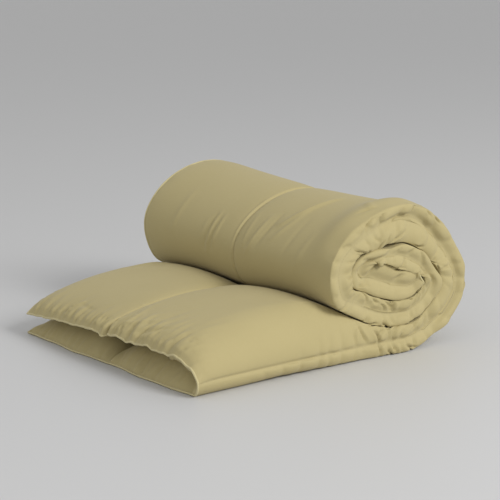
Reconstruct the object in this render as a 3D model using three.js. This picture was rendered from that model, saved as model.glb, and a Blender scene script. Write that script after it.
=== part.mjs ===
import * as THREE from "three";

// A thin quilted cotton mattress, folded double down its length and then rolled up from one end.
// All sizes are in millimetres. While the shape is being worked out, x runs from the two open
// long edges to the fold, y runs from the open end towards the roll, and z is up.
// Through the folded stack, "depth" is counted from the outside of the roll inwards.

// The mattress and its cloth
const FOLDED_WIDTH = 700;
const CLOTH = 1.2;
const SEWN_SPACE = 1.4;
const CHANNEL_SEAM_X = FOLDED_WIDTH / 2;
const PIPING_RADIUS = 2.6;
const THREAD_RADIUS = 0.5;

// Clear spaces that keep neighbouring pieces apart
const FIT_GAP = 3;
const PIPING_GAP = 0.3;
const LAYER_GAP = 5;
const TURN_GAP = 3;
const HAIRPIN_ROOM = 8;

// Height of the folded stack along the flat part
const HEM_HEIGHT = 78;
const FREE_HEIGHT = 145;
const PRESSED_HEIGHT = 68;
const HEM_CURL = 30;
const LOFT_RUN = 260;
const PRESS_START = 330;
const PRESS_END = 560;
const END_TAPER = 80;

// The roll: a leaning oval that sits partly on the flat part
const ROLL_Y = 585;
const ROLL_Z = 180;
const ROLL_HALF_LONG = 226;
const ROLL_HALF_SHORT = 185;
const ROLL_LEAN = THREE.MathUtils.degToRad(76);
const ROLL_POWER = 1.75;
const ROLL_TURNS = 2.0625;
const STEPS_PER_TURN = 16;
const CORE_HEM_INSET = 12;

// Height of the folded stack at each quarter turn, from the bottom round the far side
const ROLL_HEIGHTS = [68, 86, 104, 64, 66, 40, 45, 44, 44, 42];

// The stack leans in towards a flat spine in the middle of the roll
const SPINE_Z = 203;
const SPINE_Y = [530, 635];

// How the finished mattress settles: the open corner droops, and the roll stands higher and
// further out at its left end
const CORNER_DROOP = 28;
const END_LIFT = 18;
const ROLL_FALL = 34;
const ROLL_SAG = 13;
const ROLL_SPREAD = 12;

// Where the flat part is cut into stations, as distances from the open end
const FLAT_STATIONS = [0, 15, 45, END_TAPER, 160, LOFT_RUN, PRESS_START, 390, 450, 510];

// Across one channel the cloth lifts from the seam to full loft within this distance
const CHANNEL_SHOULDER = 50;
const SHOULDER_LOFT = 0.75;
const HEM_RISE = 0.35;
const ROLL_HEM_RISE = 0.12;
const SEAM_DEPTH = 0.2;
const FOLD_SEAM_DEPTH = 0.1;
const FOLD_SEAM_HEIGHT = 34;
const FOLD_SLOPE = 110;
const FOLD_ANGLES = [30, 60, 90];

const TURN = 2 * Math.PI;

function mix(a, b, t) {
  return a.map((value, k) => value + (b[k] - value) * t);
}

function smooth(t) {
  const u = THREE.MathUtils.clamp(t, 0, 1);
  return u * u * (3 - 2 * u);
}

// ---------------------------------------------------------------- the path of the stack

function flatHeight(y) {
  const steep = 1 - Math.exp(-y / HEM_CURL);
  const slow = Math.sin((Math.PI / 2) * Math.min(1, y / LOFT_RUN));
  const free = HEM_HEIGHT + (FREE_HEIGHT - HEM_HEIGHT) * (0.35 * steep + 0.65 * slow);
  return free + (PRESSED_HEIGHT - free) * smooth((y - PRESS_START) / (PRESS_END - PRESS_START));
}

function ovalRadius(angle) {
  const along = Math.abs(Math.cos(angle - ROLL_LEAN)) / ROLL_HALF_LONG;
  const across = Math.abs(Math.sin(angle - ROLL_LEAN)) / ROLL_HALF_SHORT;
  return (along ** ROLL_POWER + across ** ROLL_POWER) ** (-1 / ROLL_POWER);
}

function rollHeight(angle) {
  const quarter = (4 * angle) / TURN;
  const before = Math.min(Math.floor(quarter), ROLL_HEIGHTS.length - 2);
  const share = quarter - before;
  return ROLL_HEIGHTS[before] * (1 - share) + ROLL_HEIGHTS[before + 1] * share;
}

// Largest radius at which the underside of the roll still clears the flat part
function radiusAboveFlat(angle, limit) {
  let low = 0;
  let high = limit;
  for (let step = 0; step < 24; step += 1) {
    const radius = (low + high) / 2;
    const top = flatHeight(ROLL_Y + radius * Math.sin(angle));
    const clearance = TURN_GAP * (1 + Math.abs(Math.sin(angle)));
    const fits = ROLL_Z - radius * Math.cos(angle) > top + clearance;
    low = fits ? radius : low;
    high = fits ? high : radius;
  }
  return low;
}

// Outside of the first turn; angle 0 points straight down, and the angle grows round the far
// side, over the top and down the near side
function ovalPoint(angle) {
  let radius = ovalRadius(angle);
  if (angle < TURN / 4) {
    radius = Math.min(radius, ROLL_Z / Math.cos(angle));
  } else if (angle > (3 * TURN) / 4) {
    radius = radiusAboveFlat(angle, radius);
  }
  return [ROLL_Y + radius * Math.sin(angle), ROLL_Z - radius * Math.cos(angle)];
}

function towardsSpine([y, z]) {
  const away = [THREE.MathUtils.clamp(y, ...SPINE_Y) - y, SPINE_Z - z];
  const length = Math.hypot(...away);
  return away.map((value) => value / length);
}

function shifted(point, direction, distance) {
  return point.map((value, k) => value + direction[k] * distance);
}

// Outside of the stack at an angle; each turn lies on the one around it
function rollPoint(angle) {
  if (angle < TURN) {
    return ovalPoint(angle);
  }
  const around = rollPoint(angle - TURN);
  return shifted(around, towardsSpine(around), rollHeight(angle - TURN) + TURN_GAP);
}

function flatPlace(y) {
  return { origin: [y, 0], inward: [0, 1], height: flatHeight(y) };
}

// The end hem at the core stands a little away from the turn around it
function rollPlace(angle) {
  const eighth = TURN / 8;
  const inset = CORE_HEM_INSET * smooth((angle - ROLL_TURNS * TURN + eighth) / eighth);
  const point = rollPoint(angle);
  const inward = towardsSpine(point);
  return { origin: shifted(point, inward, inset), inward, height: rollHeight(angle) };
}

// Fullness of the filling: nothing at a hem, all of it beyond the end taper
function fullness(distance) {
  const t = Math.min(1, distance / END_TAPER);
  return Math.sqrt(1 - (1 - t) * (1 - t));
}

function middleOf(place) {
  return place.origin.map((value, k) => value + (place.inward[k] * place.height) / 2);
}

function stackPlaces() {
  const places = FLAT_STATIONS.map(flatPlace);
  const rollSteps = ROLL_TURNS * STEPS_PER_TURN;
  for (let step = 0; step <= rollSteps; step += 1) {
    places.push(rollPlace((step * TURN) / STEPS_PER_TURN));
  }
  let length = 0;
  places.forEach((place, k) => {
    const here = middleOf(place);
    const before = middleOf(places[Math.max(0, k - 1)]);
    length += Math.hypot(here[0] - before[0], here[1] - before[1]);
    place.distance = length;
  });
  places.forEach((place) => {
    place.full = fullness(Math.min(place.distance, length - place.distance));
    place.rolled = smooth((place.distance - 400) / 300);
  });
  return places;
}

// ---------------------------------------------------------------- across the folded stack

// The rounded lobe of one half at the fold: how far in it begins and how deep it goes.
// The lower lobe is low and short, and the upper one slopes down over it to the fold seam.
function foldLobe(place, isUpper) {
  const half = place.height / 2;
  const seamDepth = Math.min(FOLD_SEAM_HEIGHT, half);
  const deep = isUpper ? place.height - seamDepth : seamDepth;
  const onRoll = isUpper ? 0.3 * deep : 0.4 * deep;
  const onFlat = isUpper ? FOLD_SLOPE : 0.85 * deep;
  const flat = 1 - smooth((place.distance - 200) / 300);
  return { wide: onRoll + (onFlat - onRoll) * flat, deep };
}

// Depth of the middle of the stack, between its two halves, counted from the lower half's
// outside; near the fold it runs down to the fold seam
function middleDepth(place, x) {
  const half = place.height / 2;
  const { wide } = foldLobe(place, true);
  const dive = half - foldLobe(place, false).deep;
  return half - dive * smooth((x - FOLDED_WIDTH + wide) / wide);
}

function ownMiddle(place, x, isUpper) {
  const middle = middleDepth(place, x);
  return isUpper ? place.height - middle : middle;
}

// Straight part of one half: distance from the long edge, lift of the outside, loft
function legStops(place, isUpper) {
  const arcStart = FOLDED_WIDTH - foldLobe(place, isUpper).wide;
  const past = CHANNEL_SEAM_X + CHANNEL_SHOULDER;
  const hemRise = HEM_RISE + (ROLL_HEM_RISE - HEM_RISE) * place.rolled;
  return [
    { x: 0, rise: hemRise, loft: 0 },
    { x: CHANNEL_SHOULDER, rise: 0, loft: SHOULDER_LOFT },
    { x: CHANNEL_SEAM_X / 2, rise: 0, loft: 1 },
    { x: CHANNEL_SEAM_X - CHANNEL_SHOULDER, rise: 0, loft: SHOULDER_LOFT },
    { x: CHANNEL_SEAM_X, rise: SEAM_DEPTH, loft: 0 },
    { x: past, rise: 0, loft: SHOULDER_LOFT },
    { x: (past + arcStart) / 2, rise: 0, loft: 1 },
    { x: arcStart, rise: 0, loft: 1 },
  ];
}

// Four depths of cloth at a stop on the straight part: outer panel, then inner panel
function legLayers(stop, place, isUpper) {
  const outside = (stop.rise * place.height * place.full) / 2;
  const room = ownMiddle(place, stop.x, isUpper) - LAYER_GAP / 2 - outside - 2 * CLOTH;
  const filling = SEWN_SPACE + (room - SEWN_SPACE) * stop.loft * place.full;
  const inside = outside + CLOTH + filling;
  return [outside, outside + CLOTH, inside, inside + CLOTH].map((depth) => [stop.x, depth]);
}

// A point on the lobe and the direction inwards from it; the lobe is squarer on the roll
function lobePoint(degrees, depth, place, isUpper) {
  const { wide, deep } = foldLobe(place, isUpper);
  const turn = THREE.MathUtils.degToRad(degrees);
  const power = 1 - 0.42 * place.rolled;
  const sine = Math.sin(turn) ** power;
  const cosine = Math.max(0, Math.cos(turn)) ** power;
  const point = [FOLDED_WIDTH - wide + (wide - depth) * sine, deep - (deep - depth) * cosine];
  return { point, inward: [-sine, cosine] };
}

// The same four layers on the lobe; the inner panel becomes a tight hairpin
function lobeLayers(degrees, place, isUpper) {
  const onLobe = (depth) => lobePoint(degrees, depth, place, isUpper).point;
  const seamRise = (FOLD_SEAM_DEPTH * place.height * place.full) / 2;
  const rise = degrees === 90 ? seamRise : 0;
  const outside = [onLobe(rise), onLobe(rise + CLOTH)];
  const pinched = [rise + CLOTH + SEWN_SPACE, rise + 2 * CLOTH + SEWN_SPACE].map(onLobe);
  if (degrees === 90) {
    return [...outside, ...pinched];
  }
  const { wide } = foldLobe(place, isUpper);
  const share = degrees / 90;
  const reach = wide - seamRise - 2 * CLOTH - SEWN_SPACE;
  const x = FOLDED_WIDTH - wide + reach * Math.sin(THREE.MathUtils.degToRad(degrees));
  const depth = ownMiddle(place, x, isUpper) - (LAYER_GAP / 2) * (1 - share ** 4);
  const hairpin = [
    [x, depth - CLOTH],
    [x, depth],
  ];
  return [...outside, ...pinched.map((point, k) => mix(point, hairpin[k], place.full))];
}

function halfSection(place, isUpper) {
  return [
    ...legStops(place, isUpper).map((stop) => legLayers(stop, place, isUpper)),
    ...FOLD_ANGLES.map((degrees) => lobeLayers(degrees, place, isUpper)),
  ];
}

// All stops from the lower long edge, round the fold, to the upper long edge
function sectionAt(place) {
  const upper = halfSection(place, true)
    .slice(0, -1)
    .reverse()
    .map((layers) => layers.map(([x, depth]) => [x, place.height - depth]));
  return [...halfSection(place, false), ...upper];
}

function settled(place, x, y, z) {
  const droop = CORNER_DROOP * Math.exp(-x / 250 - y / 220);
  const lying = 1 - smooth((place.distance - 350) / 150);
  const bottomHem = 2 * PIPING_RADIUS;
  const raised = Math.max(0, z - bottomHem) / (place.height - bottomHem);
  const lower = z - lying * droop * raised;
  const share = x / FOLDED_WIDTH;
  const lift = END_LIFT - ROLL_FALL * share - ROLL_SAG * Math.sin(Math.PI * share);
  const spread = ROLL_SPREAD * smooth((z - 140) / 120) * (1 - share);
  const rolled = smooth((place.distance - 600) / 200);
  return [x - spread * rolled, y, lower + lift * smooth((lower - 120) / 240)];
}

function toSpace(place, point) {
  const y = place.origin[0] + place.inward[0] * point[1];
  const z = place.origin[1] + place.inward[1] * point[1];
  return settled(place, point[0], y, z);
}

// ---------------------------------------------------------------- closed bodies from rings

// Joins rings of points into one closed body. Every ring goes out along one face and back
// along the other, so an end is closed by strips between the two faces.
// leans(i, j) says which way the four-sided cell is split, the same for all pieces.
function bodyFromRings(rings, leans = () => true) {
  const count = rings[0].length;
  const last = rings.length - 1;
  const points = rings.flat();
  const triangles = [];
  for (let i = 0; i < last; i += 1) {
    for (let j = 0; j < count; j += 1) {
      const a = i * count + j;
      const b = i * count + ((j + 1) % count);
      const c = b + count;
      const d = a + count;
      triangles.push(...(leans(i, j) ? [a, b, c, a, c, d] : [a, b, d, b, c, d]));
    }
  }
  for (let j = 0; j < count / 2 - 1; j += 1) {
    const a = j;
    const b = j + 1;
    const c = count - 2 - j;
    const d = count - 1 - j;
    const shift = last * count;
    triangles.push(a, c, b, a, d, c);
    triangles.push(a + shift, b + shift, c + shift, a + shift, c + shift, d + shift);
  }
  return closedGeometry(points, triangles);
}

function signedVolume(points, triangles) {
  let total = 0;
  for (let k = 0; k < triangles.length; k += 3) {
    const [a, b, c] = [0, 1, 2].map((m) => new THREE.Vector3(...points[triangles[k + m]]));
    total += a.dot(b.cross(c));
  }
  return total / 6;
}

function closedGeometry(points, triangles) {
  const outward = signedVolume(points, triangles) > 0 ? triangles : triangles.slice().reverse();
  const geometry = new THREE.BufferGeometry();
  geometry.setAttribute("position", new THREE.Float32BufferAttribute(points.flat(), 3));
  geometry.setIndex(outward);
  geometry.computeVertexNormals();
  return geometry;
}

// ---------------------------------------------------------------- the pieces

const PLACES = stackPlaces();
const SECTIONS = PLACES.map(sectionAt);
const STOPS = SECTIONS[0].length;
const SEAM_STOPS = [0, 4, (STOPS - 1) / 2, STOPS - 5, STOPS - 1];

// Cells are split through their fuller corner, so that the cloth bows away from the filling
function fullerCorner(cell, stop) {
  const channel = SEAM_STOPS.findIndex((seam, k) => stop >= seam && stop < SEAM_STOPS[k + 1]);
  const middle = (SEAM_STOPS[channel] + SEAM_STOPS[channel + 1]) / 2;
  const risingAcross = stop + 0.5 < middle;
  const [here, next] = [PLACES[cell], PLACES[cell + 1]];
  const risingAlong = next.height * next.full > here.height * here.full;
  return risingAcross === risingAlong;
}

// Splits for a ring whose outgoing face starts at the given stop and has the given stops
function ringSplits(firstStop, stopCount) {
  return (cell, j) => {
    const outgoing = j < stopCount;
    const stop = firstStop + (outgoing ? j : 2 * stopCount - 2 - j);
    const split = fullerCorner(cell, Math.max(0, Math.min(STOPS - 2, stop)));
    return outgoing ? split : !split;
  };
}

function coverPanel(frontLayer, backLayer) {
  const rings = PLACES.map((place, i) => {
    const front = SECTIONS[i].map((layers) => toSpace(place, layers[frontLayer]));
    const back = SECTIONS[i].map((layers) => toSpace(place, layers[backLayer]));
    return [...front, ...back.reverse()];
  });
  return bodyFromRings(rings, ringSplits(0, STOPS));
}

// The two faces of the filling between two seams, drawn in a little from the cloth, and
// further in the tight lobes of the fold
function battFaces(section, firstSeam, lastSeam) {
  const faces = [];
  for (let k = firstSeam; k <= lastSeam; k += 1) {
    const atSeam = k === firstSeam || k === lastSeam;
    const next = section[k === firstSeam ? k + 1 : k - 1];
    const drawn = (m) => (atSeam ? mix(section[k][m], next[m], 0.5) : section[k][m]);
    const [outer, inner] = [drawn(1), drawn(2)];
    const inLobe = Math.abs(k - SEAM_STOPS[2]) <= FOLD_ANGLES.length;
    const span = Math.hypot(inner[0] - outer[0], inner[1] - outer[1]);
    const step = Math.min(0.3, (FIT_GAP * (inLobe ? 2 : 1)) / span);
    faces.push([mix(outer, inner, step), mix(inner, outer, step)]);
  }
  return faces;
}

function batt(firstSeam, lastSeam) {
  const rings = PLACES.map((place, i) => {
    const faces = battFaces(SECTIONS[i], firstSeam, lastSeam);
    const outer = faces.map((face) => toSpace(place, face[0]));
    const inner = faces.map((face) => toSpace(place, face[1]));
    return [...outer, ...inner.reverse()];
  });
  const last = rings.length - 1;
  const drawnIn = 0.6;
  rings[0] = rings[0].map((point, k) => mix(point, rings[1][k], drawnIn));
  rings[last] = rings[last].map((point, k) => mix(point, rings[last - 1][k], drawnIn));
  return bodyFromRings(rings, ringSplits(firstSeam, lastSeam - firstSeam + 1));
}

// Points of a small round section about a centre, in the plane of two directions
function roundRing(centre, sideways, upward, radius, sides) {
  return Array.from({ length: sides }, (_, k) => {
    const turn = ((k + 0.5) * TURN) / sides;
    const across = radius * Math.cos(turn);
    const up = radius * Math.sin(turn);
    return centre.map((value, m) => value + across * sideways[m] + up * upward[m]);
  });
}

function lengthwiseTube(places, centreAt, radius, sides) {
  const rings = places.map((place) => {
    const centre = toSpace(place, centreAt(place));
    return roundRing(centre, [1, 0, 0], [0, ...place.inward], radius, sides);
  });
  return bodyFromRings(rings);
}

function hemDepth(place) {
  const rise = (legStops(place, false)[0].rise * place.height * place.full) / 2;
  return Math.max(PIPING_RADIUS, rise + CLOTH + SEWN_SPACE / 2);
}

function sidePiping(isUpper) {
  const centreAt = (place) => {
    const depth = hemDepth(place);
    return [-PIPING_RADIUS - PIPING_GAP, isUpper ? place.height - depth : depth];
  };
  return lengthwiseTube(PLACES, centreAt, PIPING_RADIUS, 6);
}

// Piping along an end hem: out along the lower half, round the fold, back along the upper half
function endPiping(place, outwards) {
  const lift = (PIPING_RADIUS + PIPING_GAP) * outwards;
  const forward = [place.inward[1], -place.inward[0]];
  const onHalf = (isUpper, degrees) => {
    const straight = legStops(place, isUpper).map((stop) => {
      return { point: [stop.x, PIPING_RADIUS], inward: [0, 1] };
    });
    const round = degrees.map((angle) => lobePoint(angle, PIPING_RADIUS, place, isUpper));
    return [...straight, ...round];
  };
  const upper = onHalf(true, [30, 60]).reverse();
  const path = [
    ...onHalf(false, [30, 60, 90]),
    ...upper.map(({ point, inward }) => {
      return { point: [point[0], place.height - point[1]], inward: [inward[0], -inward[1]] };
    }),
  ];
  const rings = path.map(({ point, inward }) => {
    const centre = toSpace(place, point);
    const beyond = [0, forward[0] * lift, forward[1] * lift];
    const length = Math.hypot(...inward);
    const [across, deep] = inward.map((value) => value / length);
    const upward = [across, deep * place.inward[0], deep * place.inward[1]];
    const middle = centre.map((value, m) => value + beyond[m]);
    return roundRing(middle, [0, ...forward], upward, PIPING_RADIUS, 6);
  });
  return bodyFromRings(rings);
}

// One thread of a quilting seam; it stops short of both end hems
function seamThread(stop, layer, sideways, inwards) {
  const lift = THREAD_RADIUS + PIPING_GAP;
  const centreAt = (place) => {
    const [x, depth] = sectionAt(place)[stop][layer];
    return [x + sideways * lift, depth + inwards * lift];
  };
  return lengthwiseTube(PLACES.slice(1, -1), centreAt, THREAD_RADIUS, 4);
}

// The bobbin thread of the fold seam lies in the hairpin, midway between the two halves
function hairpinThread(stop) {
  const centreAt = (place) => {
    const x = sectionAt(place)[stop][3][0] - HAIRPIN_ROOM;
    return [x, middleDepth(place, x)];
  };
  return lengthwiseTube(PLACES.slice(1, -1), centreAt, THREAD_RADIUS, 4);
}

// ---------------------------------------------------------------- names, colours and assembly

const SHADES = { cloth: 0xb0a474, filling: 0xe9e4d4, piping: 0xc6bb8f, thread: 0xbdb284 };

function named(name, geometry, shade, roughness) {
  const material = new THREE.MeshStandardMaterial({ color: SHADES[shade], roughness });
  const mesh = new THREE.Mesh(geometry, material);
  mesh.name = name;
  return mesh;
}

function coverMeshes() {
  return [
    named("outer_cover_panel", coverPanel(0, 1), "cloth", 0.85),
    named("inner_cover_panel", coverPanel(2, 3), "cloth", 0.85),
  ];
}

function battMeshes() {
  const names = ["batt_lower_side", "batt_lower_fold", "batt_upper_fold", "batt_upper_side"];
  return names.map((name, k) => named(name, batt(SEAM_STOPS[k], SEAM_STOPS[k + 1]), "filling", 1));
}

function pipingMeshes() {
  const last = PLACES[PLACES.length - 1];
  return [
    named("piping_open_end", endPiping(PLACES[0], -1), "piping", 0.8),
    named("piping_core_end", endPiping(last, 1), "piping", 0.8),
    named("piping_lower_side", sidePiping(false), "piping", 0.8),
    named("piping_upper_side", sidePiping(true), "piping", 0.8),
  ];
}

function threadMeshes() {
  const [lower, fold, upper] = SEAM_STOPS.slice(1, 4);
  const threads = {
    needle_thread_lower_seam: seamThread(lower, 0, 0, -1),
    needle_thread_fold_seam: seamThread(fold, 0, 1, 0),
    needle_thread_upper_seam: seamThread(upper, 0, 0, 1),
    bobbin_thread_lower_seam: seamThread(lower, 3, 0, 1),
    bobbin_thread_fold_seam: hairpinThread(fold),
    bobbin_thread_upper_seam: seamThread(upper, 3, 0, -1),
  };
  return Object.entries(threads).map(([name, shape]) => named(name, shape, "thread", 0.7));
}

function build() {
  const group = new THREE.Group();
  group.name = "futon_mattress";
  group.add(...coverMeshes(), ...battMeshes(), ...pipingMeshes(), ...threadMeshes());
  const box = new THREE.Box3().setFromObject(group);
  const centre = box.getCenter(new THREE.Vector3());
  for (const mesh of group.children) {
    mesh.geometry.translate(-centre.x, -centre.y, -box.min.z);
  }
  return group;
}

export default build();
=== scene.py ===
import math

import bpy
import numpy as np
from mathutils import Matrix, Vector


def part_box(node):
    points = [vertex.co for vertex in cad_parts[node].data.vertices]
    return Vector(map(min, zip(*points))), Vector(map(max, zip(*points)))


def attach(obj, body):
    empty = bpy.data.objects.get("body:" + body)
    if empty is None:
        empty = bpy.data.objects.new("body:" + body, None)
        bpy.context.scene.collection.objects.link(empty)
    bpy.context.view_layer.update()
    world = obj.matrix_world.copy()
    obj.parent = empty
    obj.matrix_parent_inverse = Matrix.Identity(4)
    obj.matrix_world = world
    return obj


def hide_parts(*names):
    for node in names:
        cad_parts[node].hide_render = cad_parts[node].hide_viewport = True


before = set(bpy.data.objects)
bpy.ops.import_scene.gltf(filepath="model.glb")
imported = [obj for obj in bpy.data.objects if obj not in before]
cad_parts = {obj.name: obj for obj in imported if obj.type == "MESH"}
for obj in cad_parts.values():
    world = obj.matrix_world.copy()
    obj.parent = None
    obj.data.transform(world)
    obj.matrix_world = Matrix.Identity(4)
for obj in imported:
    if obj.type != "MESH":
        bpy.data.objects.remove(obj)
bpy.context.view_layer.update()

# ---------------------------------------------------------------- sizes, in metres
# While the shape is worked out, x runs from the open long edges to the fold, y from the open
# end towards the roll and z is up, with the lower left corner of the open end at the origin.

HEM_LOW, HEM_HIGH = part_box("piping_open_end")
COVER_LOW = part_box("outer_cover_panel")[0]
CORNER = np.array([HEM_LOW[0], COVER_LOW[1], 0.0])
WIDTH = HEM_HIGH[0] - HEM_LOW[0]
SEAM_X = WIDTH / 2

CLOTH = 0.0010
LAYER_GAP = 0.005
# The turns press into each other by this much, which is a negative gap
TURN_GAP = -0.003
# Where the gap differs: degrees round the roll, what is added to the gap, and how many degrees
# it reaches each way
OPENINGS = (
    (448, 0.013, 5),
    (466, 0.010, 4),
    (543, 0.015, 6),
    (600, 0.006, 5),
    (373, 0.006, 6),
    (655, -0.004, 12),
)

HEM_HEIGHT = 0.078
FREE_HEIGHT = 0.145
PRESSED_HEIGHT = 0.068
LOFT_RUN = 0.26
HEM_CURL = 0.022
STEEP_SHARE = 0.46
PRESS_START = 0.33
PRESS_END = 0.56
END_TAPER = 0.08
CORE_TAPER = 0.035

ROLL_Y = 0.585
ROLL_Z = 0.180
ROLL_HALF_LONG = 0.226
ROLL_HALF_SHORT = 0.185
ROLL_LEAN = math.radians(76)
ROLL_POWER = 1.75
ROLL_TURNS = 2.15
# Height of the folded stack at each quarter turn, from the bottom round the far side; it is cut
# down where the slit is nearer than that
ROLL_HEIGHTS = (0.068, 0.092, 0.104, 0.068, 0.066, 0.070, 0.090, 0.090, 0.090, 0.090)
# The slit in the middle of the roll, from its near end to its far end as (y, z): the stack
# leans in towards it and reaches at most a little past it
SLIT = np.array([[0.520, 0.230], [0.640, 0.182]])
PAST_SLIT = 0.004

HEM_RISE = 0.35
ROLL_HEM_RISE = 0.12
SEAM_DEPTH = 0.20
FOLD_SEAM_DEPTH = 0.10
ROLL_FOLD_DEPTH = 0.34
FOLD_SEAM_HEIGHT = 0.034
FOLD_SLOPE = 0.11
CORNER_DROOP = 0.028
# The roll's top is lifted at its left end, falls to the right and sags in the middle, with a
# raised shoulder near its right end
END_LIFT = 0.015
ROLL_FALL = 0.028
ROLL_SAG = 0.013
END_SHOULDER = 0.012
# The roll's left end spreads outwards, flares further near its top and is tucked in near the floor
ROLL_SPREAD = 0.017
LEFT_FLARE = 0.017
LEFT_TUCK = 0.009
# How much higher the two pads of the flat part swell beside the roll
PAD_CROWN = 0.014

# How far a point of the covers may move in the cloth simulation, hidden and in sight
STILL = 0.001
FREE = 0.014
SIMULATED_FRAMES = 24

PIPING_RADIUS = 0.0025
PIPING_STEP = 0.005
# Lowest the middle of the piping may lie, so that its thickest places stay above the floor
LOWEST_PIPING = 1.35 * PIPING_RADIUS
THREAD_RADIUS = 0.0005
STITCH = 0.0050
STITCH_GAP = 0.0022

TURN = 2 * math.pi


def smooth(t):
    u = np.clip(t, 0, 1)
    return u * u * (3 - 2 * u)


def rounded(distance, radius):
    """0 at an edge, rising like a quarter circle to 1 at the radius."""
    u = np.clip(np.asarray(distance) / radius, 0, 1)
    return np.sqrt(1 - (1 - u) ** 2)


# ---------------------------------------------------------------- the path of the stack


def flat_height(y):
    steep = 1 - np.exp(-y / HEM_CURL)
    slow = np.sin(math.pi / 2 * np.clip(y / LOFT_RUN, 0, 1))
    free = HEM_HEIGHT + (FREE_HEIGHT - HEM_HEIGHT) * (STEEP_SHARE * steep + (1 - STEEP_SHARE) * slow)
    pressed = smooth((y - PRESS_START) / (PRESS_END - PRESS_START))
    return free + (PRESSED_HEIGHT - free) * pressed


def oval_radius(angle):
    along = abs(math.cos(angle - ROLL_LEAN)) / ROLL_HALF_LONG
    across = abs(math.sin(angle - ROLL_LEAN)) / ROLL_HALF_SHORT
    return (along**ROLL_POWER + across**ROLL_POWER) ** (-1 / ROLL_POWER)


def roll_height(angle):
    quarters = np.arange(len(ROLL_HEIGHTS)) * TURN / 4
    return float(np.interp(angle, quarters, ROLL_HEIGHTS))


def radius_above_flat(angle, limit):
    """Largest radius at which the underside of the roll keeps the turn gap to the flat part."""
    low, high = 0.0, limit
    for _ in range(24):
        radius = (low + high) / 2
        top = flat_height(ROLL_Y + radius * math.sin(angle))
        if ROLL_Z - radius * math.cos(angle) > top + TURN_GAP:
            low = radius
        else:
            high = radius
    return low


def oval_point(angle):
    """Outside of the first turn; angle 0 is straight down, under the roll centre."""
    radius = oval_radius(angle)
    if angle < TURN / 4:
        radius = min(radius, ROLL_Z / math.cos(angle))
    elif angle > 0.75 * TURN:
        radius = radius_above_flat(angle, radius)
    return np.array([ROLL_Y + radius * math.sin(angle), ROLL_Z - radius * math.cos(angle)])


def way_to_slit(point):
    """Direction and distance from a point to the nearest place on the slit."""
    run = SLIT[1] - SLIT[0]
    share = np.clip((point - SLIT[0]) @ run / (run @ run), 0, 1)
    way = SLIT[0] + share * run - point
    distance = np.linalg.norm(way)
    return way / distance, distance


def turn_gap(angle):
    degrees = math.degrees(angle)
    added = [gap * math.exp(-(((degrees - at) / reach) ** 2)) for at, gap, reach in OPENINGS]
    return TURN_GAP + sum(added)


def roll_point(angle):
    """Outside of the stack at an angle round the roll; each turn lies on the one around it."""
    if angle < TURN:
        return oval_point(angle)
    around = roll_point(angle - TURN)
    return around + way_to_slit(around)[0] * (roll_height(angle - TURN) + turn_gap(angle))


def gaussian_smooth(values, sigma):
    """Smooths columns sampled at even steps; sigma is in steps, and the ends stay put."""
    reach = int(4 * sigma)
    kernel = np.exp(-0.5 * (np.arange(-reach, reach + 1) / sigma) ** 2)
    kernel /= kernel.sum()
    padded = np.pad(values, ((reach, reach), (0, 0)), mode="reflect", reflect_type="odd")
    return np.stack([np.convolve(c, kernel, mode="valid") for c in padded.T], axis=1)


def stack_path():
    """Even samples along the stack: outside point, inward direction, height and angle."""
    rows = [[y, 0.0, 0.0, 1.0, float(flat_height(y)), 0.0] for y in np.arange(0, ROLL_Y, 0.002)]
    for angle in np.linspace(0, ROLL_TURNS * TURN, 1300):
        point = roll_point(angle)
        inward, room = way_to_slit(point)
        rows.append([*point, *inward, min(roll_height(angle), room + PAST_SLIT), angle])
    rows = np.array(rows)
    middle = rows[:, :2] + rows[:, 2:4] * rows[:, 4:5] / 2
    length = np.concatenate([[0], np.cumsum(np.hypot(*np.diff(middle, axis=0).T))])
    even = np.arange(0, length[-1], 0.002)
    sampled = np.stack([np.interp(even, length, c) for c in rows.T], axis=1)
    sampled = gaussian_smooth(sampled, 6)
    sampled[:, 2:4] /= np.linalg.norm(sampled[:, 2:4], axis=1, keepdims=True)
    return even, sampled


PATH_AT, PATH = stack_path()
LENGTH = PATH_AT[-1]


def at_angle(degrees):
    """Distance along the stack at which the roll has turned that far."""
    return float(np.interp(math.radians(degrees), PATH[:, 5], PATH_AT))


def places(distances):
    """Outside point, inward direction, height and fullness at distances along the stack."""
    sampled = np.stack([np.interp(distances, PATH_AT, c) for c in PATH.T], axis=1)
    to_end = np.minimum(distances / END_TAPER, (LENGTH - distances) / CORE_TAPER)
    return {
        "origin": sampled[:, None, :2],
        "inward": sampled[:, None, 2:4],
        "half": sampled[:, None, 4] / 2,
        "full": rounded(to_end, 1)[:, None],
        "distance": np.asarray(distances)[:, None],
        "angle": sampled[:, None, 5],
    }


# ---------------------------------------------------------------- across the folded stack


def graded(length, fine, coarse, reach):
    """Stops from 0 to 1 along a length, fine near both ends and coarse in the middle."""
    stops = [0.0]
    while stops[-1] < length:
        near = min(stops[-1], length - stops[-1])
        stops.append(stops[-1] + fine + (coarse - fine) * min(1, near / reach))
    return np.array(stops) / stops[-1]


SIDE_STOPS = graded(SEAM_X, 0.005, 0.009, 0.08)
FOLD_STOPS = graded(SEAM_X + 0.04, 0.005, 0.009, 0.08)
SIDE_COUNT = len(SIDE_STOPS) - 1
FOLD_COUNT = len(FOLD_STOPS) - 1
SEAMS = np.cumsum([0, SIDE_COUNT, FOLD_COUNT, FOLD_COUNT, SIDE_COUNT])
COLUMNS = SEAMS[-1] + 1


def seam_groove(distance, wide=0.035, narrow=0.005):
    return 0.5 * np.exp(-distance / wide) + 0.5 * np.exp(-distance / narrow)


def rolled(place):
    """0 on the flat part, rising to 1 on the roll."""
    return smooth((place["distance"] - 0.4) / 0.3)


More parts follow.
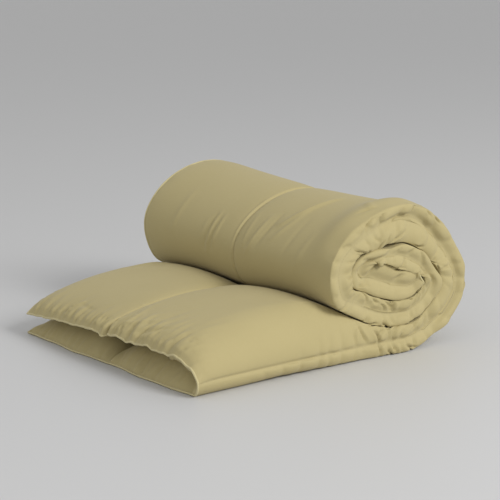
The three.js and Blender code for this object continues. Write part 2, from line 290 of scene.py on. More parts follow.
def fold_seam_height(place):
    """How deep in the stack the fold seam lies; on the roll it wanders a little."""
    wander = np.sin(place["distance"] / 0.045) + np.sin(place["distance"] / 0.083 + 2)
    return np.minimum(FOLD_SEAM_HEIGHT + 0.004 * wander * rolled(place), place["half"])


def fold_reach(place):
    """How far in from the fold its two lobes begin: the lower one, then the upper one."""
    flat = 1 - smooth((place["distance"] - 0.20) / 0.30)
    seam = fold_seam_height(place)
    upper = 0.26 * (2 * place["half"] - seam)
    return (0.34 + 0.51 * flat) * seam, upper + (FOLD_SLOPE - upper) * flat


def middle_depth(place, x, is_upper):
    """Depth of the middle of the stack from a half's own outside; it dives to the fold seam."""
    half = place["half"]
    seam_height = fold_seam_height(place)
    reach = fold_reach(place)[1]
    middle = half - (half - seam_height) * smooth((x - WIDTH + reach) / reach)
    return 2 * half - middle if is_upper else middle


def half_section(place, is_upper):
    """Outer and inner face of one half, from the long edge to the fold seam, as (x, depth),
    with the depth counted from that half's own outside."""
    half, full = place["half"], place["full"]
    seam_height = fold_seam_height(place)
    high = 2 * half - seam_height if is_upper else seam_height
    wide = fold_reach(place)[int(is_upper)]
    leg = WIDTH - wide - SEAM_X
    lobe = math.pi / 2 * np.sqrt((wide**2 + high**2) / 2)
    side_s = SIDE_STOPS[None, :] * SEAM_X + 0 * half
    fold_s = SEAM_X + FOLD_STOPS[None, 1:] * (leg + lobe)
    s = np.concatenate([side_s, fold_s], axis=1)
    share = np.clip((s - SEAM_X - leg) / lobe, 0, 1)
    turn = share * math.pi / 2
    start = np.minimum(s, WIDTH - wide)
    edge, seam, fold = s, np.abs(s - SEAM_X), SEAM_X + leg + lobe - s
    on_roll = rolled(place)
    rise = HEM_RISE + (ROLL_HEM_RISE - HEM_RISE) * on_roll
    inset = rise * half * (1 - rounded(edge, 0.07))
    inset = inset + SEAM_DEPTH * half * seam_groove(seam)
    near_side = np.exp(-(((place["angle"] - math.radians(250)) / 0.9) ** 4))
    fold_depth = FOLD_SEAM_DEPTH + (ROLL_FOLD_DEPTH - FOLD_SEAM_DEPTH) * on_roll * (1 - near_side)
    inset = inset + fold_depth * half * seam_groove(fold, 0.012, 0.004)
    inset = inset * full
    squarer = 1 - 0.50 * on_roll

    def face(depth):
        across = start + (wide - depth) * np.sin(turn) ** squarer
        return np.stack([across, high - (high - depth) * np.cos(turn) ** squarer], axis=-1)

    outer, pinched = face(inset), face(inset + CLOTH)
    loft = rounded(np.minimum(np.minimum(edge, seam), fold), 0.09) * full
    room = middle_depth(place, start, is_upper) - LAYER_GAP / 2 - inset - CLOTH
    depth = inset + CLOTH + np.maximum(room - CLOTH, 0) * loft
    straight = np.stack([start, depth], axis=-1)
    across = start + (pinched[:, -1:, 0] - WIDTH + wide) * share
    middle = middle_depth(place, across, is_upper) - LAYER_GAP / 2 * (1 - share**4)
    hairpin = np.stack([across, middle], axis=-1)
    shown = np.where((share > 0)[..., None], hairpin, straight)
    return outer, pinched + (shown - pinched) * full[..., None]


def to_space(place, section):
    """(x, depth) in the section to x, y, z."""
    yz = place["origin"] + place["inward"] * section[..., 1:]
    return np.concatenate([section[..., :1], yz], axis=-1)


def stack_faces(distances):
    """The outer and the inner cloth face of the whole folded stack, as grids of points."""
    place = places(distances)
    lower = half_section(place, False)
    upper = half_section(place, True)
    faces = []
    for low, high in zip(lower, upper):
        high = high.copy()
        high[..., 1] = 2 * place["half"] - high[..., 1]
        joined = np.concatenate([low, high[:, -2::-1]], axis=1)
        faces.append(settle(to_space(place, joined), place))
    return faces


def settle(points, place):
    """The stack as it lies: the open corner droops, the pads swell and the roll leans."""
    x, y, z = points[..., 0], points[..., 1], points[..., 2]
    along = place["distance"]
    lying = 1 - smooth((along - 0.35) / 0.15)
    droop = CORNER_DROOP * np.exp(-x / 0.25 - y / 0.22)
    z = z * (1 - lying * droop / (2 * place["half"]))
    z = z + roll_lean(x, z)
    z = z + pad_swell(x, y, z)
    raised = smooth(z / 0.03) * lying
    z = z + raised * hem_wave(x) * np.exp(-along / 0.02)
    spread = end_spread(x, z, place)
    notch = np.exp(-(((x - SEAM_X) / 0.006) ** 2) - (along / 0.022) ** 2) * raised
    flap = np.exp(-(((x - SEAM_X + 0.013) / 0.009) ** 2) - (along / 0.016) ** 2) * raised
    y = y + 0.016 * notch - 0.003 * flap + low_hem_ripple(x, along) * (1 - raised)
    return np.stack([x - spread, y, z - 0.004 * notch - 0.007 * flap], axis=-1)


def roll_lean(x, z):
    """How far the roll's upper part is raised or lowered along its length."""
    top = smooth((z - 0.12) / 0.24)
    shoulder = END_SHOULDER * np.exp(-(((WIDTH - x - 0.05) / 0.035) ** 2))
    return top * (END_LIFT - ROLL_FALL * x / WIDTH - ROLL_SAG * np.sin(math.pi * x / WIDTH) + shoulder)


def pad_swell(x, y, z):
    """How far the pads rise beside the roll; what lies just above them rises with them."""
    pads = np.abs(np.sin(math.pi * x / SEAM_X))
    beside_roll = np.exp(-(((y - 0.36) / 0.09) ** 2))
    return PAD_CROWN * pads * beside_roll * smooth(z / 0.06) * (1 - smooth((z - 0.12) / 0.16))


def hem_wave(x):
    """Small waves up and down along the raised hem of the open end, stronger beyond the seam."""
    wave = 0.0010 * np.sin(x / 0.0088) + 0.0008 * np.sin(x / 0.0051 + 1) + 0.0014 * np.sin(x / 0.019)
    return wave * (0.5 + smooth((x - SEAM_X) / 0.05))


def low_hem_ripple(x, along):
    """Waves in and out along the lower hem of the open end."""
    ripple = 0.0030 * np.sin(x / 0.047) + 0.0016 * np.sin(x / 0.021 + 1)
    return ripple * np.exp(-along / 0.04)


def end_spread(x, z, place):
    """How far the roll's two ends are moved to the left, each turn by its own amount."""
    along = place["distance"]
    spread = ROLL_SPREAD * smooth((z - 0.08) / 0.12) * smooth((along - 0.6) / 0.2) * (1 - x / WIDTH)
    flare = LEFT_FLARE * smooth((z - 0.12) / 0.14) - LEFT_TUCK * (1 - smooth((z - 0.07) / 0.07))
    ragged = 0.003 * np.sin(along / 0.055)
    spread = spread + (flare + ragged) * np.exp(-x / 0.12) * rolled(place)
    uneven = 0.005 * np.sin(along / 0.09 + 1) + 0.003 * np.sin(along / 0.041)
    return spread - uneven * rolled(place) * smooth((x - WIDTH + 0.10) / 0.10)


# ---------------------------------------------------------------- the grids of the two covers


def row_distances():
    """Rows along the stack, closest together at the open end."""
    rows = [0.0]
    while rows[-1] < LENGTH - 0.004:
        rows.append(rows[-1] + np.interp(rows[-1], (0.10, 0.16), (0.005, 0.009)))
    return np.array(rows) * LENGTH / rows[-1]


ROWS = row_distances()
FOLD_ACROSS = SEAM_X + 0.04
ACROSS_HALF = np.concatenate([SIDE_STOPS * SEAM_X, SEAM_X + FOLD_STOPS[1:] * FOLD_ACROSS])
ACROSS = np.concatenate([ACROSS_HALF, ACROSS_HALF[-2::-1]])
UPPER = np.arange(COLUMNS) > SEAMS[2]
CONTACT = at_angle(285)
FINE_ROWS = np.interp(np.arange(2 * len(ROWS) - 1) / 2, np.arange(len(ROWS)), ROWS)


def widened(grid):
    """Adds a column between each two, on a smooth curve through its neighbours."""
    padded = np.concatenate([grid[:, :1], grid, grid[:, -1:]], axis=1)
    near = padded[:, 1:-2] + padded[:, 2:-1]
    far = padded[:, :-3] + padded[:, 3:]
    between = (9 * near - far) / 16
    result = np.empty((len(grid), 2 * grid.shape[1] - 1, *grid.shape[2:]))
    result[:, ::2] = grid
    result[:, 1::2] = between
    return result


def lengthened(grid):
    """Adds a row between each two, as widened does for columns."""
    return widened(grid.swapaxes(0, 1)).swapaxes(0, 1)


def sheet_places(rows, across, upper):
    """Along, across and upper for every point of a grid."""
    shape = (len(rows), len(across))
    return tuple(np.broadcast_to(values, shape) for values in (rows[:, None], across, upper))


def in_sight(along, across, upper):
    """1 where the outside of the mattress is free and in sight, 0 where it is pressed or hidden."""
    top = upper * (1 - smooth((along - 0.33) / 0.10))
    side = ~upper * smooth((along - 0.62) / 0.10) * (1 - smooth((along - CONTACT) / 0.08))
    end = 0.4 * np.exp(-(ACROSS_HALF[-1] - across) / 0.03) * smooth((along - 0.1) / 0.2)
    return np.maximum(np.maximum(top, side), end)


# ---------------------------------------------------------------- meshes


def mesh_object(name, points, faces):
    mesh = bpy.data.meshes.new(name)
    mesh.from_pydata([tuple(p) for p in points], [], [tuple(f) for f in faces])
    mesh.validate()
    mesh.shade_smooth()
    obj = bpy.data.objects.new(name, mesh)
    bpy.context.scene.collection.objects.link(obj)
    return obj


def grid_faces(shape, flip):
    index = np.arange(shape[0] * shape[1]).reshape(shape)
    a, b = index[:-1, :-1].ravel(), index[:-1, 1:].ravel()
    c, d = index[1:, 1:].ravel(), index[1:, :-1].ravel()
    faces = np.stack([a, b, c, d], axis=1)
    return faces[:, ::-1] if flip else faces


def in_row_frame(points):
    return points + CORNER


def outward(grid, is_outer):
    """Unit normals of a cover, away from the wadding."""
    normal = np.cross(np.gradient(grid, axis=0), np.gradient(grid, axis=1))
    normal /= np.maximum(np.linalg.norm(normal, axis=-1, keepdims=True), 1e-12)
    return normal if is_outer else -normal


# ---------------------------------------------------------------- the cloth simulation


def weight_group(obj, name, weights):
    group = obj.vertex_groups.new(name=name)
    steps = np.round(weights.ravel() * 20).astype(int)
    for step in range(1, 21):
        chosen = np.flatnonzero(steps == step)
        group.add(chosen.tolist(), step / 20, "REPLACE")


def simulated(grid, is_outer, hold, swell, plain):
    """The grid after Blender's cloth simulation: air presses it out, its seams hold it, and near
    the hems the cloth has a little to spare, so it puckers."""
    shape = grid.shape[:2]
    obj = mesh_object("cloth_run", grid.reshape(-1, 3), grid_faces(shape, is_outer))
    for name, weights in (("hold", hold), ("swell", swell), ("plain", plain)):
        weight_group(obj, name, weights)
    modifier = obj.modifiers.new("Cloth", "CLOTH")
    settings = modifier.settings
    settings.quality = 5
    settings.mass = 0.3
    settings.tension_stiffness = settings.compression_stiffness = 15
    settings.shear_stiffness = 5
    settings.bending_stiffness = 0.5
    settings.use_pressure = True
    settings.uniform_pressure_force = 4
    settings.vertex_group_pressure = "swell"
    settings.effector_weights.gravity = 0
    settings.vertex_group_mass = "hold"
    settings.pin_stiffness = 1
    settings.vertex_group_shrink = "plain"
    settings.shrink_min = -0.035
    settings.shrink_max = -0.002
    modifier.point_cache.frame_end = SIMULATED_FRAMES
    for number in range(1, SIMULATED_FRAMES + 1):
        bpy.context.scene.frame_set(number)
    run = obj.evaluated_get(bpy.context.evaluated_depsgraph_get())
    places_after = np.empty(grid.size)
    run.data.vertices.foreach_get("co", places_after)
    bpy.data.objects.remove(obj)
    bpy.context.scene.frame_set(1)
    return places_after.reshape(grid.shape)


def blurred(grid, sigma):
    """The grid smoothed along and across; sigma is in rows and columns."""
    rows, columns = grid.shape[:2]
    along = gaussian_smooth(grid.reshape(rows, -1), sigma).reshape(grid.shape)
    across = along.swapaxes(0, 1)
    return gaussian_smooth(across.reshape(columns, -1), sigma).reshape(across.shape).swapaxes(0, 1)


def puckered(grid, is_outer, rows):
    along, across, upper = sheet_places(rows, ACROSS, UPPER)
    show = in_sight(along, across, upper)
    if not is_outer:
        show = 1 - smooth((along - 0.14) / 0.10)
    near_hem = np.exp(-along / 0.05) + 0.5 * np.exp(-across / 0.03)
    hold = 0.75 - 0.5 * show
    hold[:, SEAMS] = 1
    hold[[0, -1]] = 1
    random = np.random.default_rng(5)
    start = grid + outward(grid, is_outer) * random.normal(0, 0.0002, along.shape)[..., None]
    after = simulated(start, is_outer, hold, show, 1 - np.clip(near_hem, 0, 1))
    moved = after - grid
    calm = (1 - np.clip(2 * near_hem, 0, 1))[..., None]
    moved = blurred(moved, 1.1)
    moved = moved + (blurred(moved, 1.2) - moved) * calm
    limit = STILL + (FREE - STILL) * show
    length = np.linalg.norm(moved, axis=-1)
    return grid + moved * np.minimum(1, limit / np.maximum(length, 1e-9))[..., None]


# ---------------------------------------------------------------- creases and seams


def ridge(along, across, start, end, width, height, bow=0.0):
    """Height of a crease between two places (across, along), fading at both ends."""
    run = np.subtract(end, start)
    length = np.hypot(*run)
    off_x, off_y = across - start[0], along - start[1]
    share = (off_x * run[0] + off_y * run[1]) / length**2
    side = (off_x * run[1] - off_y * run[0]) / length
    inside = np.clip(share, 0, 1)
    beyond = np.maximum(np.abs(share - 0.5) - 0.5, 0) * length
    side = side - bow * 4 * inside * (1 - inside)
    return height * np.exp(-((side / width) ** 2) - (beyond / width) ** 2) * np.sin(math.pi * inside) ** 0.7


# Gathers at the open end: first and last place across, then the least and the most of their
# spacing, reach, width and height
FINE_GATHERS = (0.010, 0.670, (0.009, 0.020), (0.020, 0.045), (0.0026, 0.0038), (0.0008, 0.0024))
LEFT_FOLDS = (0.040, 0.335, (0.013, 0.028), (0.028, 0.060), (0.0036, 0.0055), (0.0028, 0.0055))
RIGHT_FOLDS = (0.362, 0.600, (0.013, 0.026), (0.050, 0.105), (0.0040, 0.0065), (0.0042, 0.0085))


def hem_puckers(along, across, seed):
    """Gathers that run in from the open end's hem, longest and deepest beyond the seam."""
    random = np.random.default_rng(seed)
    height = np.zeros(along.shape)
    near = along < 0.25
    along, across = along[near], across[near]
    total = np.zeros(along.shape)
    for first, last, spacing, reaches, widths, heights in (FINE_GATHERS, LEFT_FOLDS, RIGHT_FOLDS):
        place = first
        while place < last:
            reach, width = random.uniform(*reaches), random.uniform(*widths)
            tall = random.choice([-1, 1]) * random.uniform(*heights)
            side = across - place - random.uniform(-0.3, 0.3) * along
            fade = np.exp(-((along / reach) ** 2))
            total += tall * fade * np.exp(-((side / (width + 0.04 * along)) ** 2))
            place += random.uniform(*spacing)
    reach = 0.034 + 0.026 * smooth((across - SEAM_X) / 0.08)
    total = 0.75 * total + seam_gathers(across, along, 0.0, (0.012, 0.034), reach, 0.0075, seed + 20)
    height[near] = total * (0.25 + 0.75 * smooth(along / 0.015)) * smooth((WIDTH + 0.02 - across) / 0.10)
    return height


def seam_ticks(along, across, seam, spacing, reach, tall, seed):
    """Small tucks that cross a lengthwise seam where the stitching gathers the cloth."""
    random = np.random.default_rng(seed)
    height = np.zeros(along.shape)
    at = 0.05
    while at < LENGTH - 0.03:
        out = reach * random.uniform(0.5, 1.2)
        side = along - at - random.uniform(-0.4, 0.4) * (across - seam)
        fade = np.exp(-(((across - seam) / out) ** 2)) * (1 - np.exp(-(((across - seam) / 0.004) ** 2)))
        wide = random.uniform(0.004, 0.007)
        height = height + random.uniform(-1, 1) * tall * fade * np.exp(-((side / wide) ** 2))
        at += spacing * random.uniform(0.5, 1.5)
    return height


def seam_gathers(along, across, seam, spacing, reach, tall, seed):
    """Puffs with sharp valleys between them, where the cloth is gathered along a seam."""
    random = np.random.default_rng(seed)
    valleys = np.cumsum(random.uniform(*spacing, int(LENGTH / spacing[0])))
    numbers = np.arange(len(valleys))
    heights = random.uniform(0.4, 1.0, len(valleys)) * tall
    slants = random.uniform(-0.9, 0.9, len(valleys))
    off = across - seam
    slant = np.interp(along, valleys, slants)
    phase = np.interp(along + slant * np.abs(off), valleys, numbers)
    puff = np.abs(np.sin(math.pi * phase)) ** 0.6
    return np.interp(along, valleys, heights) * puff * np.exp(-((off / reach) ** 2))


# Creases on the near side of the roll: start and end as (across, degrees round the roll), then
# width, height and bow
ROLL_CREASES = (
    ((0.535, 186), (0.465, 236), 0.0070, 0.0065, 0.010),
    ((0.250, 236), (0.238, 268), 0.0035, -0.0034, 0.004),
    ((0.258, 234), (0.252, 270), 0.0035, 0.0036, 0.004),
    ((0.268, 238), (0.263, 266), 0.0035, -0.0032, 0.003),
    ((0.280, 236), (0.273, 262), 0.0035, 0.0032, 0.003),
    ((0.232, 240), (0.224, 262), 0.0040, 0.0014, 0.002),
    ((0.425, 226), (0.400, 262), 0.0060, 0.0032, 0.006),
    ((0.450, 222), (0.430, 256), 0.0060, -0.0032, 0.006),
    ((0.515, 214), (0.470, 248), 0.0060, 0.0030, 0.008),
    ((0.545, 220), (0.530, 262), 0.0070, -0.0016, 0.006),
    ((0.375, 226), (0.385, 262), 0.0050, 0.0016, 0.004),
    ((0.120, 222), (0.110, 262), 0.0080, 0.0018, 0.006),
    ((0.635, 196), (0.690, 204), 0.0050, 0.0030, 0.000),
    ((0.600, 232), (0.580, 268), 0.0080, 0.0018, 0.006),
)

# Creases on the flat part's top: start and end as (across, along), then width, height and bow
TOP_CREASES = (
    ((0.150, 0.004), (0.185, 0.060), 0.0055, 0.0040, 0.000),
    ((0.170, 0.050), (0.260, 0.040), 0.0060, -0.0018, 0.004),
    ((0.355, 0.190), (0.345, 0.168), 0.0030, 0.0016, 0.000),
    ((0.060, 0.270), (0.075, 0.350), 0.0060, 0.0022, 0.004),
    ((0.100, 0.300), (0.125, 0.370), 0.0060, -0.0022, 0.004),
    ((0.380, 0.020), (0.500, 0.080), 0.0070, 0.0026, 0.006),
    ((0.420, 0.010), (0.560, 0.055), 0.0070, -0.0026, 0.006),
    ((0.400, 0.012), (0.460, 0.110), 0.0090, 0.0020, 0.006),
)


def end_wrinkles(along, around):
    """Slanting sharp creases and soft bulges on the rolled end, where the fold is squeezed."""
    random = np.random.default_rng(31)
    fold = ACROSS_HALF[-1]
    height = np.zeros(along.shape)
    for _ in range(90):
        start = (fold + random.uniform(-0.055, 0.055), random.uniform(0.45, LENGTH))
        slant = random.choice([-1, 1]) * random.uniform(0.5, 1.4)
        run = random.uniform(0.022, 0.060)
        end = (start[0] + run * math.sin(slant), start[1] + run * math.cos(slant))
        tall = random.uniform(0.0050, 0.0120)
        width = random.uniform(0.0026, 0.0042)
        bow = random.uniform(-0.008, 0.008)
        height -= ridge(along, around, start, end, width, tall, bow)
        height += 0.3 * ridge(along, around, start, end, 3 * width, tall, bow)
    swell = np.sin(along / 0.019) + np.sin(along / 0.031 + 2) + np.sin(along / 0.011 + 4)
    near_end = np.exp(-(((around - fold) / 0.05) ** 2)) * smooth((along - 0.45) / 0.2)
    return height * smooth((along - 0.4) / 0.1) + 0.0018 * swell * near_end


def off_seam(distance):
    """0 on a seam, where the stitching holds the cloth down, and 1 away from it."""
    return 1 - np.exp(-((distance / 0.0038) ** 2))


def crease_height(along, across, upper):
    """How far the finished outer cover stands off the simulated one."""
    around = np.where(upper, 2 * ACROSS_HALF[-1] - across, across)
    height = hem_puckers(along, across, 11) * upper + hem_puckers(along, across, 12) * ~upper
    for start, end, width, tall, bow in ROLL_CREASES:
        places_on = [(place, at_angle(degrees)) for place, degrees in (start, end)]
        height = height + ~upper * ridge(along, across, *places_on, width, tall, bow)
    for crease in TOP_CREASES:
        height = height + upper * ridge(along, across, *crease)
    height = height + seam_ticks(along, across, SEAM_X, 0.055, 0.014, 0.0012, 21)
    pleats = seam_gathers(along, around, ACROSS_HALF[-1], (0.022, 0.060), 0.028, 0.0085, 22)
    first = np.where(upper, 0.25, 0.12)
    pleats = (pleats - 0.0028) * smooth((along - first) / 0.15) + end_wrinkles(along, around)
    height = height + pleats * off_seam(around - ACROSS_HALF[-1])
    height = height + seam_ticks(along, across, 0.0, 0.03, 0.022, 0.0020, 23) * smooth(along / 0.1)
    lip = np.exp(-(((across - SEAM_X + 0.0045) / 0.0028) ** 2))
    raised = np.exp(-(((along - at_angle(212)) / 0.10) ** 2)) * ~upper
    return height + (0.0017 + 0.0030 * raised) * lip * smooth(along / 0.02)


# ---------------------------------------------------------------- the covers


def cover_grids():
    """The finished outer and inner cover, then both without their creases, as grids. The
    finished outer cover has twice the rows of the others."""
    outer, inner = stack_faces(ROWS)
    near = int(np.searchsorted(ROWS, 0.32))
    outer = puckered(outer, True, ROWS)
    inner[:near] = puckered(inner[:near], False, ROWS[:near])
    smooth_outer, smooth_inner = widened(outer), widened(inner)
    outer = lengthened(smooth_outer)
    along, across, upper = sheet_places(FINE_ROWS, *fine_columns())
    outer = outer + outward(outer, True) * crease_height(along, across, upper)[..., None]
    along, across, upper = sheet_places(ROWS, *fine_columns())
    inside = 0.6 * (hem_puckers(along, across, 13) * upper + hem_puckers(along, across, 14) * ~upper)
    inner = smooth_inner + outward(smooth_inner, False) * inside[..., None]
    outer[..., 2] = np.maximum(outer[..., 2], 0)
    return outer, inner, smooth_outer, smooth_inner


def fine_columns():
    across = widened(ACROSS[None, :])[0]
    return across, np.arange(len(across)) > 2 * SEAMS[2]


def cover_object(name, grid, is_outer):
    rows = FINE_ROWS if is_outer else ROWS
    obj = mesh_object(name, in_row_frame(grid.reshape(-1, 3)), grid_faces(grid.shape[:2], is_outer))
    along, across, _ = sheet_places(rows, *fine_columns())
    places_on = np.stack([across, along], axis=-1).reshape(-1, 2)
    corners = np.empty(len(obj.data.loops), dtype=np.int64)
    obj.data.loops.foreach_get("vertex_index", corners)
    layer = obj.data.uv_layers.new(name="cloth")
    layer.uv.foreach_set("vector", places_on[corners].ravel())
    from_seam = np.minimum(np.abs(across - SEAM_X), np.abs(across - ACROSS_HALF[-1]))
    from_hem = np.minimum(np.minimum(across, along), LENGTH - along)
    wear = np.exp(-np.minimum(from_seam, from_hem) / 0.006).ravel()
    obj.data.attributes.new("wear", "FLOAT", "POINT").data.foreach_set("value", wear)
    return obj


# ---------------------------------------------------------------- tubes: piping and thread


def tube(path, radii, sides):
    """Points and faces of a closed tube along a path, with flat ends."""
    path = np.asarray(path)
    ahead = np.gradient(path, axis=0)
    ahead /= np.linalg.norm(ahead, axis=1, keepdims=True)
    across = np.cross(ahead[0], (0.3, 0.5, 0.8))
    points = []
    for centre, direction, radius in zip(path, ahead, radii):
        across = across - direction * across.dot(direction)
        across /= np.linalg.norm(across)
        other = np.cross(direction, across)
        turns = np.arange(sides) / sides * TURN
        points.append(centre + radius * (np.outer(np.cos(turns), across) + np.outer(np.sin(turns), other)))
    faces = []
    for ring in range(len(path) - 1):
        for side in range(sides):
            after = (side + 1) % sides
            low, high = ring * sides, (ring + 1) * sides
            faces.append((low + side, low + after, high + after, high + side))
    faces.append(tuple(range(sides))[::-1])
    last = (len(path) - 1) * sides
    faces.append(tuple(last + side for side in range(sides)))
    return np.concatenate(points), faces


def joined_tubes(name, tubes):
    points, faces, count = [], [], 0
    for tube_points, tube_faces in tubes:
        points.append(tube_points)
        faces += [tuple(count + corner for corner in face) for face in tube_faces]
        count += len(tube_points)
    return mesh_object(name, in_row_frame(np.concatenate(points)), faces)


def length_along(path):
    """Distance from the start of a path to each of its points."""
    return np.concatenate([[0], np.cumsum(np.linalg.norm(np.diff(path, axis=0), axis=1))])


def evened(path, step):
    """The path again, at even steps."""
    length = length_along(path)
    at = np.linspace(0, length[-1], max(2, int(length[-1] / step)))
    return np.stack([np.interp(at, length, c) for c in path.T], axis=1)


def piping(name, path, seed):
    """Covered cord along a hem, a little uneven where the cloth gathers on it."""
    path = evened(path, PIPING_STEP)
    path[:, 2] = np.maximum(path[:, 2], LOWEST_PIPING)
    random = np.random.default_rng(seed)
    uneven = gaussian_smooth(random.normal(0, 1, (len(path), 1)), 1.2)[:, 0]
    radii = PIPING_RADIUS * (1 + 0.12 * uneven)
    radii[[0, -1]] *= 0.7
    return joined_tubes(name, [tube(path, radii, 8)])


def stitches(name, path):
    """A row of stitches along a seam."""
    length = length_along(path)
    tubes = []
    for start in np.arange(STITCH_GAP, length[-1] - STITCH, STITCH + STITCH_GAP):
        at = start + STITCH * np.array([0, 0.2, 0.8, 1])
        points = np.stack([np.interp(at, length, c) for c in path.T], axis=1)
        tubes.append(tube(points, THREAD_RADIUS * np.array([0.4, 1, 1, 0.4]), 5))
    return joined_tubes(name, tubes)


# ---------------------------------------------------------------- the wadding

# Outer and inner face of the wadding, as shares of the way from the outer to the inner cover
BATT_SKIN = 0.46
BATT_LINING = 0.62


def batt(name, outer, inner, first, last):
    """Wadding between the covers, from one column to another, as one closed body; it keeps
    away from the hems and seams, where the covers close on each other."""
    rows = slice(5, -4)
    columns = slice(first + 16, last - 15, 3)
    out = outer[rows, columns]
    into = inner[rows, columns]
    skin = out + (into - out) * BATT_SKIN
    lining = out + (into - out) * BATT_LINING
    rings = np.concatenate([skin, lining[:, ::-1]], axis=1)
    around = rings.shape[1]
    faces = []
    for row in range(len(rings) - 1):
        for corner in range(around):
            after = (corner + 1) % around
            low, high = row * around, (row + 1) * around
            faces.append((low + corner, low + after, high + after, high + corner))
    faces.append(tuple(range(around))[::-1])
    end = (len(rings) - 1) * around
    faces.append(tuple(end + corner for corner in range(around)))
    return mesh_object(name, in_row_frame(rings.reshape(-1, 3)), faces)


# ---------------------------------------------------------------- materials


def new_material(name, colour, roughness, sheen):
    """A material with its shader's plain numbers set, and its node tree to build on."""
    mat = bpy.data.materials.new(name)
    mat.use_nodes = True
    shader = mat.node_tree.nodes["Principled BSDF"]
    shader.inputs["Base Color"].default_value = (*colour, 1)
    shader.inputs["Roughness"].default_value = roughness
    shader.inputs["Sheen Weight"].default_value = sheen
    shader.inputs["Sheen Roughness"].default_value = 0.5
    shader.inputs["Specular IOR Level"].default_value = 0.25
    return mat, mat.node_tree, shader


def add_node(tree, kind, inputs=(), **settings):
    """A node with its settings, and its inputs given as values or as other nodes' outputs."""
    node = tree.nodes.new(kind)
    for key, value in settings.items():
        setattr(node, key, value)
    for key, value in dict(inputs).items():
        if isinstance(value, bpy.types.NodeSocket):
            tree.links.new(value, node.inputs[key])
        else:
            node.inputs[key].default_value = value
    return node


def noise(tree, vector, scale, detail=3.0):
    return add_node(tree, "ShaderNodeTexNoise", {"Vector": vector, "Scale": scale, "Detail": detail})


def between(tree, share, low, high):
    """A colour between two others."""
    mix = add_node(tree, "ShaderNodeMix", data_type="RGBA")
    tree.links.new(share, mix.inputs[0])
    for socket, value in ((mix.inputs[6], low), (mix.inputs[7], high)):
        if isinstance(value, bpy.types.NodeSocket):
            tree.links.new(value, socket)
        else:
            socket.default_value = (*value, 1)
    return mix.outputs[2]


def maths(tree, operation, first, second):
    return add_node(tree, "ShaderNodeMath", {0: first, 1: second}, operation=operation).outputs[0]


def weave_height(tree, vector, pitch):
    """Height of a plain weave: threads one way and the other, taking turns on top."""
    scale = 1 / pitch / 2
    threads = []
    for direction in ("X", "Y"):
        inputs = {"Vector": vector, "Scale": scale / 10 * TURN / 2, "Distortion": 0.6, "Detail": 1.0}
        wave = add_node(tree, "ShaderNodeTexWave", inputs, bands_direction=direction)
        threads.append(wave.outputs["Fac"])
    return maths(tree, "MULTIPLY", *threads)


WEAVE_PITCH = 0.0009
KHAKI = (0.470, 0.395, 0.190)
KHAKI_DEEP = (0.410, 0.340, 0.155)
KHAKI_WORN = (0.560, 0.490, 0.280)
CORD_LIGHT = (0.620, 0.545, 0.300)
CORD_DEEP = (0.500, 0.430, 0.215)
THREAD_LIGHT = (0.480, 0.410, 0.220)
THREAD_DEEP = (0.400, 0.335, 0.160)
WADDING = (0.80, 0.77, 0.70)
WADDING_DARK = (0.66, 0.61, 0.52)
WADDING_PALE = (0.86, 0.84, 0.78)


def cloth_material():
    """Plain-weave cotton: fine threads, slubs, a soft sheen, and paler seams and hems."""
    mat, tree, shader = new_material("cover_cotton", KHAKI, 0.78, 0.1)
    place = add_node(tree, "ShaderNodeUVMap", uv_map="cloth").outputs["UV"]
    whole = add_node(tree, "ShaderNodeTexCoord").outputs["Object"]
    clouds = noise(tree, whole, 5).outputs["Fac"]
    drawn_out = add_node(tree, "ShaderNodeMapping", {"Vector": place, "Scale": (1, 12, 1)})
    slubs = noise(tree, drawn_out.outputs[0], 60).outputs["Fac"]
    colour = between(tree, clouds, KHAKI_DEEP, KHAKI)
    colour = between(tree, maths(tree, "MULTIPLY", slubs, 0.25), colour, KHAKI_WORN)
    wear = add_node(tree, "ShaderNodeAttribute", attribute_name="wear").outputs["Fac"]
    colour = between(tree, maths(tree, "MULTIPLY", wear, 0.22), colour, KHAKI_WORN)
    tree.links.new(colour, shader.inputs["Base Color"])
    rough = add_node(tree, "ShaderNodeMapRange", {"Value": clouds, "To Min": 0.70, "To Max": 0.86})
    tree.links.new(rough.outputs[0], shader.inputs["Roughness"])
    weave = weave_height(tree, place, WEAVE_PITCH)
    height = maths(tree, "ADD", weave, maths(tree, "MULTIPLY", slubs, 0.6))
    bump = add_node(tree, "ShaderNodeBump", {"Height": height, "Strength": 0.35, "Distance": 0.0003})
    tree.links.new(bump.outputs["Normal"], shader.inputs["Normal"])
    return mat


def cord_material(name, light, deep, scale, depth):
    """Cotton wound on the slant, for the piping and the thread."""
    mat, tree, shader = new_material(name, light, 0.75, 0.2)
    whole = add_node(tree, "ShaderNodeTexCoord").outputs["Object"]
    inputs = {"Vector": whole, "Scale": scale, "Distortion": 1.5}
    wave = add_node(tree, "ShaderNodeTexWave", inputs, bands_direction="DIAGONAL")
    slant = wave.outputs["Fac"]
    patches = noise(tree, whole, 40).outputs["Fac"]
    shade = maths(tree, "MULTIPLY", maths(tree, "ADD", slant, patches), 0.5)
    tree.links.new(between(tree, shade, deep, light), shader.inputs["Base Color"])
    bump = add_node(tree, "ShaderNodeBump", {"Height": slant, "Strength": 0.4, "Distance": depth})
    tree.links.new(bump.outputs["Normal"], shader.inputs["Normal"])
    return mat


def wadding_material():
    """Raw cotton and polyester wadding: matted fibres, off white with a few darker specks."""
    mat, tree, shader = new_material("cotton_wadding", WADDING, 0.95, 0.4)
    whole = add_node(tree, "ShaderNodeTexCoord").outputs["Object"]
    tufts = noise(tree, whole, 120, 8).outputs["Fac"]
    tree.links.new(between(tree, tufts, WADDING_DARK, WADDING_PALE), shader.inputs["Base Color"])
    bump = add_node(tree, "ShaderNodeBump", {"Height": tufts, "Strength": 0.8, "Distance": 0.002})
    tree.links.new(bump.outputs["Normal"], shader.inputs["Normal"])
    return mat


# ---------------------------------------------------------------- the pieces


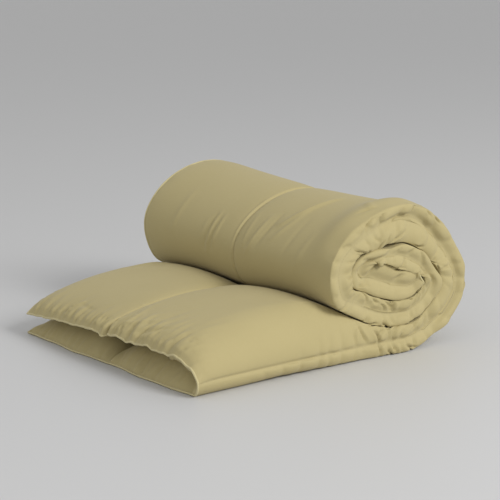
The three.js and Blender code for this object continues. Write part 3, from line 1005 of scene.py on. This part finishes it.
def declare(obj, mat, slot, *nodes):
    obj.data.materials.append(mat)
    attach(obj, "root")
    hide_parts(*nodes)


def make_covers(outer, inner):
    cotton = cloth_material()
    for name, grid, is_outer in (("outer_cover", outer, True), ("inner_cover", inner, False)):
        cover = cover_object(name, grid, is_outer)
        declare(cover, cotton, "cover_cloth", name + "_panel")


def make_piping(outer, inner):
    cord = cord_material("piping_cotton", CORD_LIGHT, CORD_DEEP, 120, 0.0003)
    middle = (outer[::2] + inner) / 2
    paths = (
        ("open_end", middle[0]),
        ("core_end", middle[-1]),
        ("lower_side", middle[:, 0]),
        ("upper_side", middle[:, -1]),
    )
    for number, (side, path) in enumerate(paths):
        declare(piping(side + "_piping", path, 40 + number), cord, "piping", "piping_" + side)


def make_stitches(outer, inner):
    cotton_thread = cord_material("sewing_thread", THREAD_LIGHT, THREAD_DEEP, 900, 0.0001)
    lift = THREAD_RADIUS * 0.3
    for name, column in (("lower", 2 * SEAMS[1]), ("fold", 2 * SEAMS[2]), ("upper", 2 * SEAMS[3])):
        for kind, grid, is_outer in (("needle", outer, True), ("bobbin", inner, False)):
            path = (grid + outward(grid, is_outer) * lift)[:, column]
            row = stitches(name + "_seam_" + kind + "_stitches", path)
            declare(row, cotton_thread, "thread", kind + "_thread_" + name + "_seam")


def make_wadding(outer, inner):
    wadding = wadding_material()
    for number, name in enumerate(("lower_side", "lower_fold", "upper_fold", "upper_side")):
        pad = batt(name + "_wadding", outer, inner, 2 * SEAMS[number], 2 * SEAMS[number + 1])
        declare(pad, wadding, "filling", "batt_" + name)


def make_mattress():
    outer, inner, smooth_outer, smooth_inner = cover_grids()
    make_covers(outer, inner)
    make_piping(outer, inner)
    make_stitches(outer, inner)
    make_wadding(smooth_outer, smooth_inner)


make_mattress()


# ---------------------------------------------------------------- the room, light and camera


def make_floor():
    reach = 60
    corners = [(-reach, -reach, 0), (reach, -reach, 0), (reach, reach, 0), (-reach, reach, 0)]
    floor = mesh_object("floor", corners, [(0, 1, 2, 3)])
    mat = bpy.data.materials.new("floor")
    mat.use_nodes = True
    mat.node_tree.nodes["Principled BSDF"].inputs["Base Color"].default_value = (0.6, 0.6, 0.6, 1)
    floor.data.materials.append(mat)


def make_light(name, place, size, energy):
    light = bpy.data.lights.new(name, "AREA")
    light.size = size
    light.energy = energy
    obj = bpy.data.objects.new(name, light)
    obj.location = place
    obj.rotation_euler = (Vector((0, 0, 0.1)) - Vector(place)).to_track_quat("-Z", "Y").to_euler()
    bpy.context.scene.collection.objects.link(obj)


def make_sky():
    """Even white light from all round."""
    world = bpy.data.worlds.new("world")
    world.use_nodes = True
    background = world.node_tree.nodes["Background"]
    background.inputs["Color"].default_value = (1, 1, 1, 1)
    background.inputs["Strength"].default_value = 0.57
    bpy.context.scene.world = world


def make_camera():
    data = bpy.data.cameras.new("camera")
    data.lens = 108.4
    data.sensor_width = 36
    obj = bpy.data.objects.new("camera", data)
    obj.location = CORNER + (3.132, -1.796, 0.928)
    yaw, pitch = math.radians(-51.5), math.radians(11.4)
    look = Vector((math.sin(yaw) * math.cos(pitch), math.cos(yaw) * math.cos(pitch), -math.sin(pitch)))
    obj.rotation_euler = look.to_track_quat("-Z", "Y").to_euler()
    bpy.context.scene.collection.objects.link(obj)
    bpy.context.scene.camera = obj


make_floor()
make_light("key", (5.5, 1.6, 3.9), 2.6, 292)
make_light("fill", (0.5, -5.5, 2.4), 4.0, 20)
make_sky()
bpy.context.scene.view_settings.view_transform = "Standard"
make_camera()
